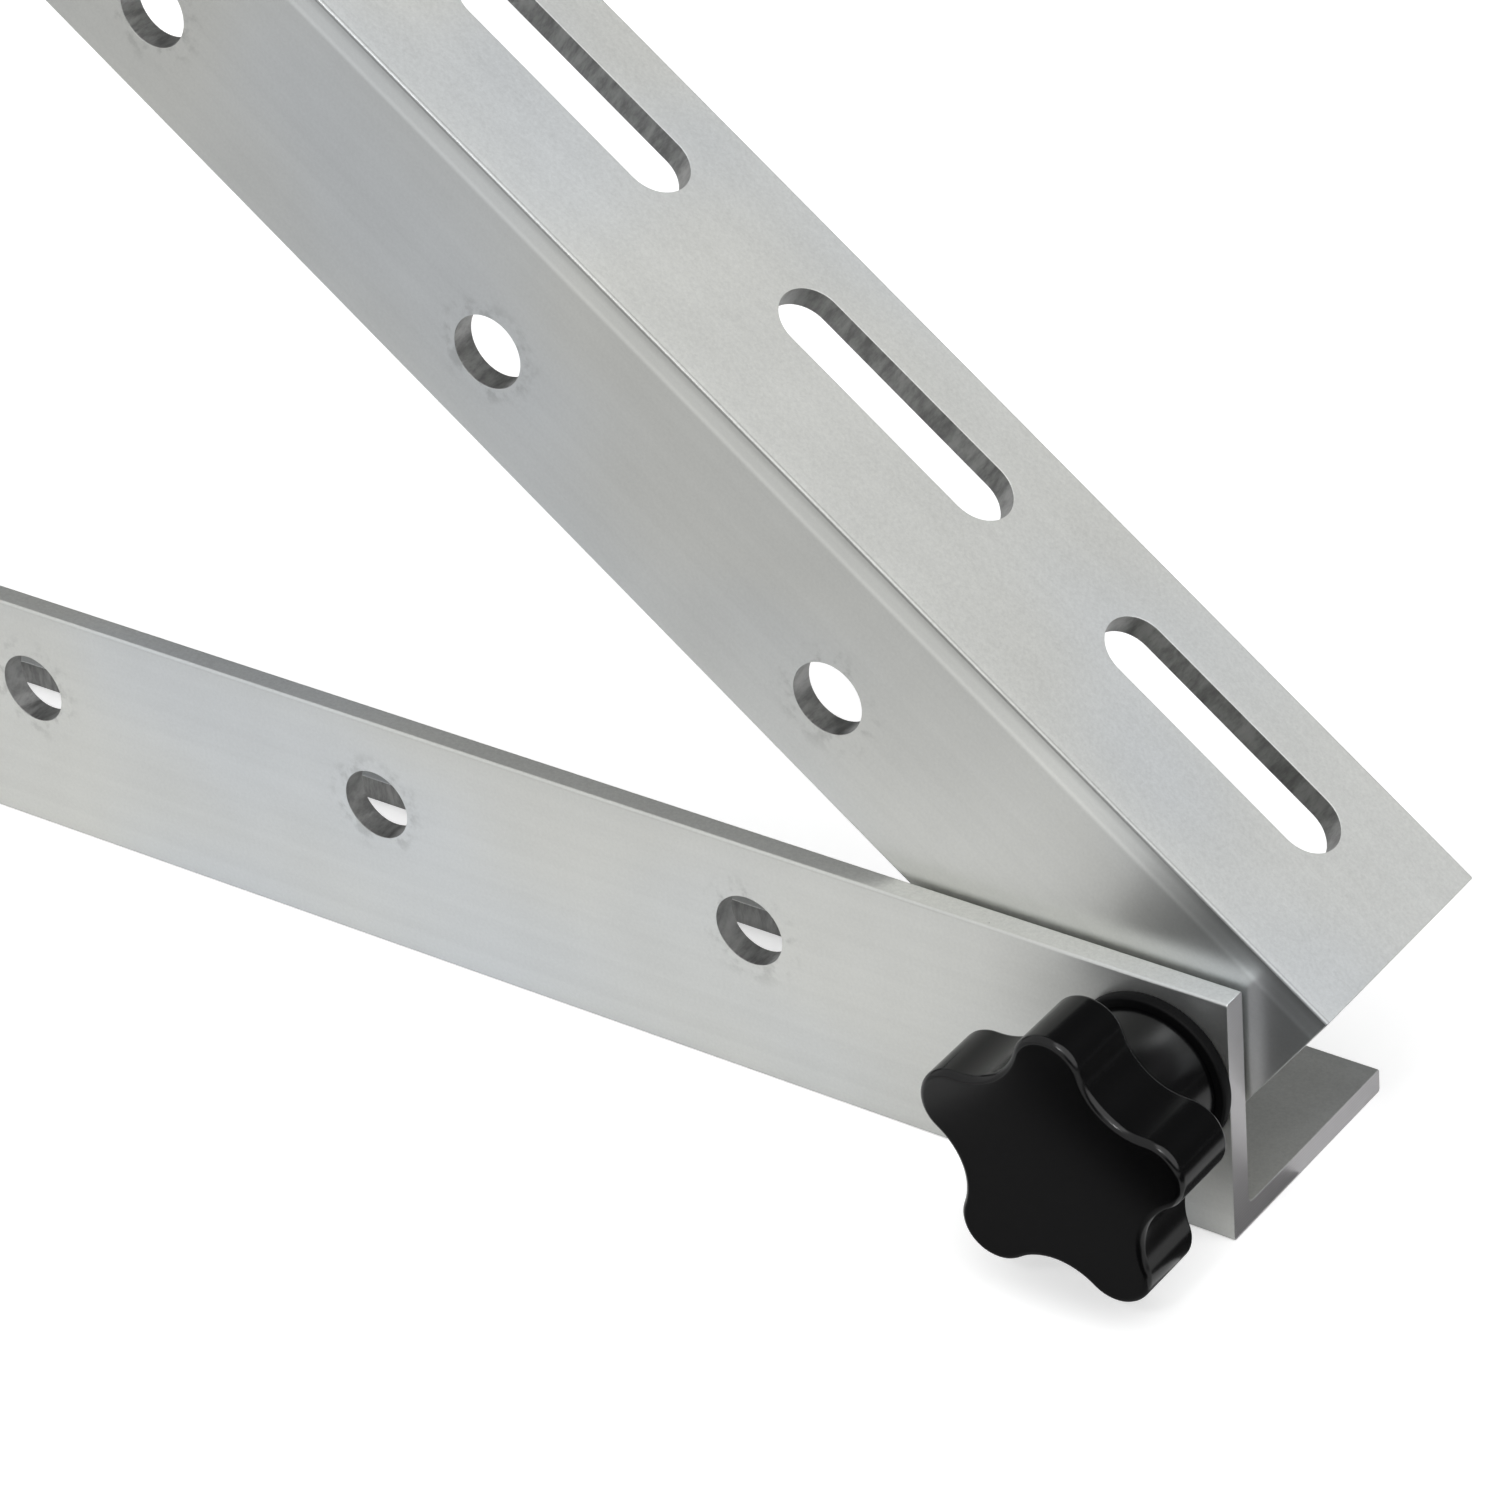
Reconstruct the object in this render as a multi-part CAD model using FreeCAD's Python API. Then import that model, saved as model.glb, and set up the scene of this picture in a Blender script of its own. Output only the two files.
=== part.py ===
import FreeCAD, Part
import math
import os

from FreeCAD import Placement, Rotation, Vector

# A tilt bracket for a solar panel: two punched aluminium angle rails, hinged at one end on a bolt with a star
# knob. Millimetres. X runs along the base rail towards its hinge end, Y from the knob side to the back, Z up.
# The origin is on the underside of the foot, on the line of its slots, straight below the hinge axis.

# Angle rail: both rails are the same extrusion with the same punching
FLANGE_HEIGHT = 30.0  # upright flange, from the outer corner to its free edge
FLANGE_DEPTH = 30.0  # foot flange, or panel flange, from the outer corner to its free edge
WALL = 3.0
ROOT_RADIUS = 0.8  # inside corner
EDGE_RADIUS = 0.4  # free edges and outer corner

# Round holes in the upright flange; the one nearest to the hinge end is the pivot
HOLE_DIAMETER = 8.5
HOLE_PITCH = 50.8
HOLE_COUNT = 15
HOLE_LINE = 19.0  # hole centres, from the outer corner
END_MARGIN = 9.0  # pivot hole centre to the square-cut end

# Slots in the foot and panel flanges
SLOT_LENGTH = 32.5
SLOT_WIDTH = 8.0
SLOT_COUNT = 15
SLOT_LINE = 18.5  # slot centres, from the outer corner
SLOT_MARGIN = 28.5  # first and last slot centres, from the rail's ends

# Hinge
HINGE_ANGLE = 37.0  # between the rails
THREAD_DIAMETER = 8.0
THREAD_CLEARANCE = 0.05  # between bolt and nut, each side
WASHER_CLEARANCE = 0.2  # between bolt and washers, each side
SPACER_DIAMETER = 17.0
SPACER_THICKNESS = 0.5  # thin plastic washer between the two upright flanges

# Star knob with a plastic washer under its hub
KNOB_WASHER_DIAMETER = 18.6
KNOB_WASHER_THICKNESS = 1.5
KNOB_HEIGHT = 18.5  # hub face to front face
STAR_THICKNESS = 8.8
STAR_LOBES = 5
STAR_TIP_RADIUS = 16.2
STAR_VALLEY_RADIUS = 11.5
STAR_LOBE_ROUND = 4.2  # radius of each lobe's end
STAR_TURN = 17.7  # angle of the first lobe above +X, in degrees
STAR_FRONT_BEVEL = 1.0
STAR_BACK_BEVEL = 0.6
HUB_FACE_DIAMETER = 16.6
HUB_ROOT_DIAMETER = 15.4  # where the hub meets the star

# Bolt head moulded into the knob
HEAD_ACROSS_FLATS = 13.0
HEAD_HEIGHT = 5.3
HEAD_COVER = 2.8  # plastic in front of the head
BOLT_TIP_CHAMFER = 1.0
BOLT_PROTRUSION = 4.0  # past the nut

# Back of the hinge
FLAT_WASHER_DIAMETER = 16.0
FLAT_WASHER_THICKNESS = 1.6
SPRING_WASHER_DIAMETER = 14.8
SPRING_WASHER_THICKNESS = 2.0
SPRING_WASHER_SPLIT = 1.0
SPRING_SPLIT_SLANT = 25.0  # degrees
NUT_ACROSS_FLATS = 13.0
NUT_HEIGHT = 6.5
NUT_FACE_DIAMETER = 12.4  # flat round faces that the turned corners leave
NUT_CORNER_ANGLE = 30.0  # slope of the turned corners, in degrees

# Worked out from the sizes above
RAIL_LENGTH = 2 * END_MARGIN + (HOLE_COUNT - 1) * HOLE_PITCH
SLOT_PITCH = (RAIL_LENGTH - 2 * SLOT_MARGIN) / (SLOT_COUNT - 1)

# Distances in front of the base rail's front face, along the hinge axis
BASE_BACK = -WALL
PANEL_FRONT = BASE_BACK - SPACER_THICKNESS
PANEL_BACK = PANEL_FRONT - WALL
FLAT_WASHER_BACK = PANEL_BACK - FLAT_WASHER_THICKNESS
SPRING_WASHER_BACK = FLAT_WASHER_BACK - SPRING_WASHER_THICKNESS
NUT_BACK = SPRING_WASHER_BACK - NUT_HEIGHT
BOLT_END = NUT_BACK - BOLT_PROTRUSION
HUB_FACE = KNOB_WASHER_THICKNESS
KNOB_FRONT = HUB_FACE + KNOB_HEIGHT
STAR_BACK = KNOB_FRONT - STAR_THICKNESS
HEAD_FRONT = KNOB_FRONT - HEAD_COVER
HEAD_BACK = HEAD_FRONT - HEAD_HEIGHT

# The hinge's own frame: Z points out of the front of the base rail, and 0 is that rail's front face
HINGE_FRAME = Placement(Vector(0, -SLOT_LINE, HOLE_LINE), Rotation(Vector(1, 0, 0), 90))


def polar(radius, degrees):
    """Point in the XY plane at a radius and an angle."""
    turn = math.radians(degrees)
    return Vector(radius * math.cos(turn), radius * math.sin(turn), 0)


def rounded_face(corners):
    """Flat face with straight sides; corners is a list of (point, radius)."""
    starts, middles, ends = [], [], []
    for i, (point, radius) in enumerate(corners):
        to_last = (corners[i - 1][0] - point).normalize()
        to_next = (corners[(i + 1) % len(corners)][0] - point).normalize()
        half = to_last.getAngle(to_next) / 2
        inward = (to_last + to_next).normalize()
        starts.append(point + to_last * (radius / math.tan(half)))
        ends.append(point + to_next * (radius / math.tan(half)))
        middles.append(point + inward * (radius / math.sin(half) - radius))
    edges = []
    for i in range(len(corners)):
        edges.append(Part.Arc(starts[i], middles[i], ends[i]).toShape())
        edges.append(Part.LineSegment(ends[i], starts[(i + 1) % len(corners)]).toShape())
    return Part.Face(Part.Wire(edges))


def ring(outer, inner, low, high):
    """Flat ring on the hinge axis, given by its diameters and its two faces."""
    place = Vector(0, 0, low)
    disc = Part.makeCylinder(outer / 2, high - low, place)
    return disc.cut(Part.makeCylinder(inner / 2, high - low, place))


def corner_radius(across_flats):
    """Distance of a hexagon's corners from its centre."""
    return across_flats / math.sqrt(3)


def hexagon(across_flats, low, high):
    """Six-sided prism on the hinge axis, with its corners at the sides."""
    corner = corner_radius(across_flats)
    points = [polar(corner, 60 * i) + Vector(0, 0, low) for i in range(7)]
    return Part.Face(Part.makePolygon(points)).extrude(Vector(0, 0, high - low))


def slot_cutter(x):
    """Round-ended cutter for one slot of the foot flange, centred at x."""
    half = (SLOT_LENGTH - SLOT_WIDTH) / 2
    radius = SLOT_WIDTH / 2
    depth = Vector(0, 0, 2 * WALL)
    low = Vector(x, SLOT_LINE, -HOLE_LINE - WALL / 2)
    body = Part.makeBox(2 * half, SLOT_WIDTH, depth.z, low - Vector(half, radius, 0))
    ends = [Part.makeCylinder(radius, depth.z, low + Vector(side * half, 0, 0)) for side in (-1, 1)]
    return body.multiFuse(ends).removeSplitter()


def hole_cutter(x):
    """Cutter for one round hole of the upright flange, centred at x on the hole line."""
    return Part.makeCylinder(HOLE_DIAMETER / 2, 2 * WALL, Vector(x, -WALL / 2, 0), Vector(0, 1, 0))


def angle_rail():
    """One rail: hinge hole at the origin, running to -X, with its outer corner at the bottom front."""
    far_end = END_MARGIN - RAIL_LENGTH
    bottom = -HOLE_LINE
    corners = [
        (0, bottom, EDGE_RADIUS),
        (FLANGE_DEPTH, bottom, EDGE_RADIUS),
        (FLANGE_DEPTH, bottom + WALL, EDGE_RADIUS),
        (WALL, bottom + WALL, ROOT_RADIUS),
        (WALL, bottom + FLANGE_HEIGHT, EDGE_RADIUS),
        (0, bottom + FLANGE_HEIGHT, EDGE_RADIUS),
    ]
    section = rounded_face([(Vector(far_end, y, z), radius) for y, z, radius in corners])
    bar = section.extrude(Vector(RAIL_LENGTH, 0, 0))
    holes = [hole_cutter(-i * HOLE_PITCH) for i in range(HOLE_COUNT)]
    slots = [slot_cutter(END_MARGIN - SLOT_MARGIN - i * SLOT_PITCH) for i in range(SLOT_COUNT)]
    return bar.cut(Part.makeCompound(holes + slots)).Solids[0]


def base_rail():
    """The rail that stands on its slotted foot, in front of the panel rail."""
    rail = angle_rail()
    rail.translate(Vector(0, -SLOT_LINE, HOLE_LINE))
    return rail


def panel_rail():
    """The same rail turned over, with its slotted flange on top, behind the base rail and swung up.

    The punching is the same from either end, so a mirror image is the rail turned over."""
    rail = angle_rail().mirror(Vector(0, 0, 0), Vector(0, 0, 1))
    rail.rotate(Vector(0, 0, 0), Vector(0, 1, 0), HINGE_ANGLE)
    rail.translate(Vector(0, -SLOT_LINE - PANEL_FRONT, HOLE_LINE))
    return rail


def star_face():
    """Outline of the knob's star: lobe arcs and valley arcs that run smoothly into each other."""
    half_step = 180.0 / STAR_LOBES
    lobe_centre = STAR_TIP_RADIUS - STAR_LOBE_ROUND
    reach = lobe_centre * math.cos(math.radians(half_step))
    # The valley arc's radius, from the two centres being as far apart as the two radii together
    square = lobe_centre**2 + STAR_VALLEY_RADIUS**2 - 2 * reach * STAR_VALLEY_RADIUS - STAR_LOBE_ROUND**2
    valley_round = square / (2 * (STAR_LOBE_ROUND - STAR_VALLEY_RADIUS + reach))
    share = STAR_LOBE_ROUND / (STAR_LOBE_ROUND + valley_round)
    edges = []
    for i in range(STAR_LOBES):
        angle = STAR_TURN + 2 * half_step * i
        centre = polar(lobe_centre, angle)
        before = polar(STAR_VALLEY_RADIUS + valley_round, angle - half_step)
        after = polar(STAR_VALLEY_RADIUS + valley_round, angle + half_step)
        following = polar(lobe_centre, angle + 2 * half_step)
        start = centre + (before - centre) * share
        end = centre + (after - centre) * share
        next_start = following + (after - following) * share
        edges.append(Part.Arc(start, polar(STAR_TIP_RADIUS, angle), end).toShape())
        edges.append(Part.Arc(end, polar(STAR_VALLEY_RADIUS, angle + half_step), next_start).toShape())
    return Part.Face(Part.Wire(edges))


def edges_at(shape, height):
    """Edges of a shape that lie flat at one height."""
    tolerance = 1e-4
    boxes = [(edge, edge.BoundBox) for edge in shape.Edges]
    return [edge for edge, box in boxes if max(abs(box.ZMin - height), abs(box.ZMax - height)) < tolerance]


def knob_bolt():
    """Hexagon bolt whose head is moulded into the knob."""
    head = hexagon(HEAD_ACROSS_FLATS, HEAD_BACK, HEAD_FRONT)
    shank = Part.makeCylinder(THREAD_DIAMETER / 2, HEAD_BACK - BOLT_END, Vector(0, 0, BOLT_END))
    shank = shank.makeChamfer(BOLT_TIP_CHAMFER, edges_at(shank, BOLT_END))
    return head.fuse(shank)


def star_knob():
    """Star and hub in one moulding, round the bolt's head and shank."""
    star = star_face().extrude(Vector(0, 0, STAR_THICKNESS))
    star.translate(Vector(0, 0, STAR_BACK))
    star = star.makeChamfer(STAR_FRONT_BEVEL, edges_at(star, KNOB_FRONT))
    star = star.makeChamfer(STAR_BACK_BEVEL, edges_at(star, STAR_BACK))
    hub_length = STAR_BACK - HUB_FACE
    hub = Part.makeCone(HUB_FACE_DIAMETER / 2, HUB_ROOT_DIAMETER / 2, hub_length, Vector(0, 0, HUB_FACE))
    return star.fuse(hub).cut(knob_bolt()).Solids[0]


def washer_bore():
    """Bore of every washer on the bolt."""
    return THREAD_DIAMETER + 2 * WASHER_CLEARANCE


def knob_washer():
    """Plastic washer that the hub turns on, against the base rail."""
    return ring(KNOB_WASHER_DIAMETER, washer_bore(), 0, HUB_FACE)


def rail_spacer():
    """Thin plastic washer between the two upright flanges."""
    return ring(SPACER_DIAMETER, washer_bore(), PANEL_FRONT, BASE_BACK)


def flat_washer():
    """Steel washer against the back of the panel rail's upright flange."""
    return ring(FLAT_WASHER_DIAMETER, washer_bore(), FLAT_WASHER_BACK, PANEL_BACK)


def spring_washer():
    """Ring with a slanted split on its upper side, pressed flat."""
    washer = ring(SPRING_WASHER_DIAMETER, washer_bore(), SPRING_WASHER_BACK, FLAT_WASHER_BACK)
    tall = 3 * SPRING_WASHER_THICKNESS
    corner = Vector(-SPRING_WASHER_SPLIT / 2, 0, -tall / 2)
    knife = Part.makeBox(SPRING_WASHER_SPLIT, SPRING_WASHER_DIAMETER, tall, corner)
    knife.rotate(Vector(0, 0, 0), Vector(0, 1, 0), SPRING_SPLIT_SLANT)
    knife.translate(Vector(0, 0, (SPRING_WASHER_BACK + FLAT_WASHER_BACK) / 2))
    return washer.cut(knife)


def hex_nut():
    """Nut with its corners turned off at both faces, bored for the thread."""
    face = NUT_FACE_DIAMETER / 2
    bore = THREAD_DIAMETER / 2 + THREAD_CLEARANCE
    corner = corner_radius(NUT_ACROSS_FLATS)
    drop = (corner - face) * math.tan(math.radians(NUT_CORNER_ANGLE))
    low, high = NUT_BACK, SPRING_WASHER_BACK
    outline = [
        (bore, low), (face, low), (corner, low + drop),
        (corner, high - drop), (face, high), (bore, high),
    ]
    points = [Vector(radius, 0, height) for radius, height in outline]
    turned = Part.Face(Part.makePolygon(points + points[:1])).revolve(Vector(0, 0, 0), Vector(0, 0, 1), 360)
    return hexagon(NUT_ACROSS_FLATS, low, high).common(turned)


def main():
    os.makedirs("parts", exist_ok=True)
    nodes = {"base_rail": base_rail(), "panel_rail": panel_rail()}
    stack = (star_knob, knob_bolt, knob_washer, rail_spacer, flat_washer, spring_washer, hex_nut)
    for build in stack:
        shape = build()
        shape.Placement = HINGE_FRAME.multiply(shape.Placement)
        nodes[build.__name__] = shape
    for name, shape in nodes.items():
        shape.exportStep(f"parts/{name}.step")


main()
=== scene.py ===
import math

import bpy
from mathutils import Euler, Matrix, Vector


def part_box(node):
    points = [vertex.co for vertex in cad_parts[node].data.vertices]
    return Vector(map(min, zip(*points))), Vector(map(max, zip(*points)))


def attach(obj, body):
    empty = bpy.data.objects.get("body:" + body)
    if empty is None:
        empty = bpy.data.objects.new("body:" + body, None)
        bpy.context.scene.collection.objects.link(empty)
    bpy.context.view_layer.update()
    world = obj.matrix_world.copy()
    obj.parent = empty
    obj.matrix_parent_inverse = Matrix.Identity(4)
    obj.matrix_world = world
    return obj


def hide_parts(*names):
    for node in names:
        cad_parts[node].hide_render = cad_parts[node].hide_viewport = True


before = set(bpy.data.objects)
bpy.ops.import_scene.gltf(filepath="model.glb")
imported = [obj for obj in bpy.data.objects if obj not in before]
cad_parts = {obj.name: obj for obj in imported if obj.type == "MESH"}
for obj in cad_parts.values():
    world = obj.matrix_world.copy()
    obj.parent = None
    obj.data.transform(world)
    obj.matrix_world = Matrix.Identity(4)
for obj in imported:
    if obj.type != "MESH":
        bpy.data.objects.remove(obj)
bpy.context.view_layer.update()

# Sizes in metres, written in millimetres. X runs along the base rail towards the hinge, Y to the back, Z up.
MM = 0.001
SAME = 0.001 * MM  # places nearer than this are one place
CLOSE = 0.01 * MM  # the same where a cut or a spin has made them

# The rails' extrusion and punching
FLANGE_HEIGHT = 30 * MM
FLANGE_DEPTH = 30 * MM
WALL = 3 * MM
ROOT_ROUND = 0.8 * MM
LONG_EDGE_ROUND = 0.4 * MM
CUT_EDGE_BREAK = 0.15 * MM  # deburred rims and sawn ends
HOLE_RADIUS = 4.25 * MM
HOLE_PITCH = 50.8 * MM
HOLE_COUNT = 15
HOLE_LINE = 19 * MM  # from the outer corner
END_MARGIN = 9 * MM
SLOT_LENGTH = 32.5 * MM
SLOT_WIDTH = 8 * MM
SLOT_COUNT = 15
SLOT_LINE = 18.5 * MM  # from the outer corner
SLOT_MARGIN = 28.5 * MM
RAIL_LENGTH = 2 * END_MARGIN + (HOLE_COUNT - 1) * HOLE_PITCH
SLOT_PITCH = (RAIL_LENGTH - 2 * SLOT_MARGIN) / (SLOT_COUNT - 1)
HINGE_ANGLE = math.radians(37)

# The stack on the hinge bolt, from the frame. The panel rail lies against the back of the spacer.
KNOB_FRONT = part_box("star_knob")[0].y
HUB_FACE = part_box("knob_washer")[0].y
BASE_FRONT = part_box("base_rail")[0].y
PANEL_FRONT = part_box("rail_spacer")[1].y

# Star knob
STAR_THICKNESS = 8.8 * MM
STAR_LOBES = 5
STAR_TIP = 16.2 * MM
STAR_VALLEY = 11.5 * MM
LOBE_ROUND = 4.2 * MM
STAR_TURN = math.radians(17.7)
STAR_FRONT_ROUND = 0.8 * MM
STAR_BACK_ROUND = 0.6 * MM
LOBE_STEPS = 32
VALLEY_STEPS = 16
HUB_FACE_RADIUS = 8.3 * MM
HUB_ROOT_RADIUS = 7.7 * MM
HUB_ROOT_ROUND = 0.6 * MM
HUB_FACE_ROUND = 0.2 * MM

# Bolt, nut and washers
THREAD_RADIUS = 4 * MM
THREAD_PITCH = 1.25 * MM
THREAD_DEPTH = 0.68 * MM
THREAD_STEPS = 40  # in a turn
CREST_SHARE = 0.15  # of the pitch
BOLT_ROOM = 0.05 * MM  # round the bolt, in the moulding and in the nut
HEAD_HEIGHT = 5.3 * MM
BOLT_TIP_CHAMFER = 1 * MM
HEX_CORNER = 6.5 * MM / math.cos(math.radians(30))  # 13 mm across the flats
HEX_TURN = math.radians(30)  # corners to the left and right
HEX_EDGE_ROUND = 0.15 * MM
HEX_FACE_RADIUS = 6.2 * MM  # flat round face inside the turned corners
HEX_CORNER_SLOPE = math.radians(30)
NUT_MOUTH = 0.4 * MM  # countersink
WASHER_BORE_RADIUS = 4.2 * MM
SPLIT_WIDTH = 1 * MM
SPLIT_SLANT = math.radians(25)

# The camera of the photograph: its place, its axes and its lens
CAMERA_PLACE = Vector((261.14, -419.21, 368.72)) * MM
CAMERA_RIGHT = Vector((0.817207, 0.571627, -0.073587))
CAMERA_UP = Vector((-0.260412, 0.480122, 0.837656))
CAMERA_BACK = Vector((0.514158, -0.665376, 0.541218))
CAMERA_LENS = 138.4
CAMERA_SENSOR = 36
CAMERA_NEAR_LIMIT = 10 * MM

# Studio. Each light is (direction that it comes from, width in degrees, brightness).
LIGHTS = {
    "front_softbox": ((-0.51, -0.54, 0.66), 110, 0.75),
    "top_softbox": ((0.62, -0.16, 0.76), 80, 1.75),
    "key_lamp": ((0.16, -0.69, 0.70), 7, 34),
}
SKY_COLOUR = (0.98, 1.0, 1.0, 1)
SKY_LIGHT = 0.11
SKY_GLOW = 0.9  # added where the camera sees it
FLOOR_MIDDLE = (-0.3, 0.2, 0)
FLOOR_SIZE = 14
FLOOR_SHADE = 0.79
FLOOR_GLOW = 0.4

# Cards that lie on the floor and show only in reflections. Each is (middle of its back edge, turn, width,
# depth, shade). The first two darken the knob's face, the third the sides of its lower lobes, the fourth what
# faces right, and the last the front of the panel rail.
CARD_TURN = math.radians(26.1)
CARDS = {
    "black_card": ((-7.2 * MM, -60.7 * MM, 0.5 * MM), CARD_TURN, 75 * MM, 60 * MM, 0.0),
    "dark_card": ((-14.6 * MM, -36.4 * MM, 0.4 * MM), CARD_TURN, 52 * MM, 25 * MM, 0.2),
    "under_card": ((19 * MM, -5.5 * MM, 0.3 * MM), 0.0, 20 * MM, 20 * MM, 0.04),
    "side_card": ((810 * MM, 1400 * MM, 0.3 * MM), 0.0, 1500 * MM, 1500 * MM, 0.04),
    "grey_card": ((-1560 * MM, -66 * MM, 0.3 * MM), 0.0, 3000 * MM, 1500 * MM, 0.52),
}

AXIS_ALONG = {"X": (0, math.radians(90), 0), "Y": (math.radians(90), 0, 0), "Z": (0, 0, 0)}


def activate(*pieces):
    """Object mode, with these pieces selected and the first one active."""
    if bpy.context.object and bpy.context.object.mode != "OBJECT":
        bpy.ops.object.mode_set(mode="OBJECT")
    bpy.ops.object.select_all(action="DESELECT")
    for piece in pieces:
        piece.select_set(True)
    if pieces:
        bpy.context.view_layer.objects.active = pieces[0]


def settle(name):
    """Names the object that was just added, and puts its place into its mesh."""
    piece = bpy.context.object
    piece.name = piece.data.name = name
    bpy.ops.object.transform_apply(location=True, rotation=True, scale=True)
    return piece


def block(name, low, high):
    """A block between two corners."""
    activate()
    low, high = Vector(low), Vector(high)
    bpy.ops.mesh.primitive_cube_add(size=1, location=(low + high) / 2, scale=high - low)
    return settle(name)


def round_bar(name, radius, start, end, axis, sides=96, turn=0.0):
    """A round bar, or a prism with few sides, from a point to a place along the axis."""
    activate()
    start = Vector(start)
    step = {"X": Vector((1, 0, 0)), "Y": Vector((0, 1, 0)), "Z": Vector((0, 0, 1))}[axis]
    length = end - start.dot(step)
    bpy.ops.mesh.primitive_cylinder_add(
        vertices=sides, radius=radius, depth=abs(length), location=start + step * (length / 2)
    )
    piece = bpy.context.object
    piece.rotation_euler = (Euler(AXIS_ALONG[axis]).to_matrix() @ Matrix.Rotation(turn, 3, "Z")).to_euler()
    return settle(name)


def pick(piece, kind, wanted):
    """Edit mode, with only the vertices, edges or faces selected that pass the test."""
    activate(piece)
    mesh = piece.data
    bpy.context.tool_settings.mesh_select_mode = [kind == name for name in ("VERT", "EDGE", "FACE")]
    for parts in (mesh.vertices, mesh.edges, mesh.polygons):
        parts.foreach_set("select", [False] * len(parts))
    if kind == "VERT":
        for vertex in mesh.vertices:
            vertex.select = wanted(vertex.co)
    elif kind == "EDGE":
        for edge in mesh.edges:
            first, second = (mesh.vertices[i].co for i in edge.vertices)
            edge.select = wanted(first, second)
    else:
        for face in mesh.polygons:
            face.select = wanted(face.center, face.normal)
    bpy.ops.object.mode_set(mode="EDIT")


def edit_all(piece):
    """Edit mode, with everything selected."""
    activate(piece)
    bpy.ops.object.mode_set(mode="EDIT")
    bpy.ops.mesh.select_mode(type="VERT")
    bpy.ops.mesh.select_all(action="SELECT")


def modify(piece, kind, **settings):
    """Adds a modifier with these settings and applies it."""
    activate(piece)
    bpy.ops.object.modifier_add(type=kind)
    modifier = piece.modifiers[-1]
    for setting, value in settings.items():
        setattr(modifier, setting, value)
    bpy.ops.object.modifier_apply(modifier=modifier.name)


def combine(piece, other, operation, **settings):
    """Joins another piece to this one, cuts it out of it, or keeps what they share; the other is used up."""
    modify(piece, "BOOLEAN", operation=operation, solver="EXACT", object=other, **settings)
    bpy.data.objects.remove(other)


def clear(piece):
    """Takes out the faces without area that a cut can leave."""
    edit_all(piece)
    bpy.ops.mesh.dissolve_degenerate(threshold=0.1 * SAME)
    bpy.ops.object.mode_set(mode="OBJECT")


def row_of(piece, count, step):
    """Repeats a piece along a step."""
    modify(
        piece, "ARRAY", count=count, use_relative_offset=False,
        use_constant_offset=True, constant_offset_displace=step,
    )


def shade(piece, angle=35):
    """Smooth shading that keeps flat faces flat beside small rounds."""
    activate(piece)
    bpy.ops.object.shade_smooth_by_angle(angle=math.radians(angle))
    modify(piece, "WEIGHTED_NORMAL", keep_sharp=True, weight=50)


def place(piece, matrix):
    """Moves a piece and puts its new place into its mesh."""
    activate(piece)
    piece.matrix_world = matrix
    bpy.ops.object.transform_apply(location=True, rotation=True, scale=True)


def dress(piece, *materials):
    """Gives a piece these materials and no others."""
    piece.data.materials.clear()
    for material in materials:
        piece.data.materials.append(material)


def onto(piece, body, slot, *nodes):
    """The piece stands for these nodes and rides on their body."""
    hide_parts(*nodes)
    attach(piece, body)


# Shader building


def add(tree, kind, inputs=None, **settings):
    """Adds a node. An input that is a socket gets linked, and any other one gets that value."""
    node = tree.nodes.new(kind)
    for setting, value in settings.items():
        setattr(node, setting, value)
    for name, value in (inputs or {}).items():
        if isinstance(value, bpy.types.NodeSocket):
            tree.links.new(value, node.inputs[name])
        else:
            node.inputs[name].default_value = value
    return node


def maths(tree, operation, first, second=0.0, third=0.0):
    """One sum, on sockets or numbers."""
    return add(tree, "ShaderNodeMath", {0: first, 1: second, 2: third}, operation=operation).outputs[0]


def total(tree, start, *parts):
    """The start plus every part times its strength; parts are (part, strength)."""
    for part, strength in parts:
        start = maths(tree, "MULTIPLY_ADD", part, strength, start)
    return start


def both(tree, first, second):
    """Where two masks overlap."""
    return maths(tree, "MULTIPLY", first, second)


def apart(tree, first, second):
    """How far apart two values are."""
    return maths(tree, "ABSOLUTE", maths(tree, "SUBTRACT", first, second))


def off_middle(tree, pattern):
    """How far a pattern lies above or below its middle, 0.5."""
    return maths(tree, "SUBTRACT", pattern, 0.5)


def between(tree, value, low, high):
    """0 where the value is at low and 1 where it is at high, smoothly in between."""
    inputs = {"Value": value, "From Min": low, "From Max": high, "To Min": 0.0, "To Max": 1.0}
    return add(tree, "ShaderNodeMapRange", inputs, interpolation_type="SMOOTHSTEP").outputs["Result"]


def blend_colours(tree, share, first, second):
    """Two colours mixed."""
    return add(tree, "ShaderNodeMix", {0: share, 6: first, 7: second}, data_type="RGBA").outputs[2]


def lit(tree, colour, light):
    """A colour made lighter or darker."""
    return add(tree, "ShaderNodeVectorMath", {0: colour, "Scale": light}, operation="SCALE").outputs[0]


def stretched(tree, vector, scale):
    """Coordinates scaled differently along each axis."""
    return add(tree, "ShaderNodeVectorMath", {0: vector, 1: scale}, operation="MULTIPLY").outputs[0]


def shifted(tree, vector, step):
    """Coordinates moved by a step."""
    return add(tree, "ShaderNodeVectorMath", {0: vector, 1: step}, operation="ADD").outputs[0]


def noise(tree, vector, scale, detail=3.0, roughness=0.5):
    """Noise from 0 to 1, with about scale patches in a metre."""
    inputs = {"Vector": vector, "Scale": scale, "Detail": detail, "Roughness": roughness}
    return add(tree, "ShaderNodeTexNoise", inputs).outputs["Fac"]


def bumped(tree, height, strength, distance):
    """A normal that follows a height."""
    inputs = {"Height": height, "Strength": strength, "Distance": distance}
    return add(tree, "ShaderNodeBump", inputs).outputs["Normal"]


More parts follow.
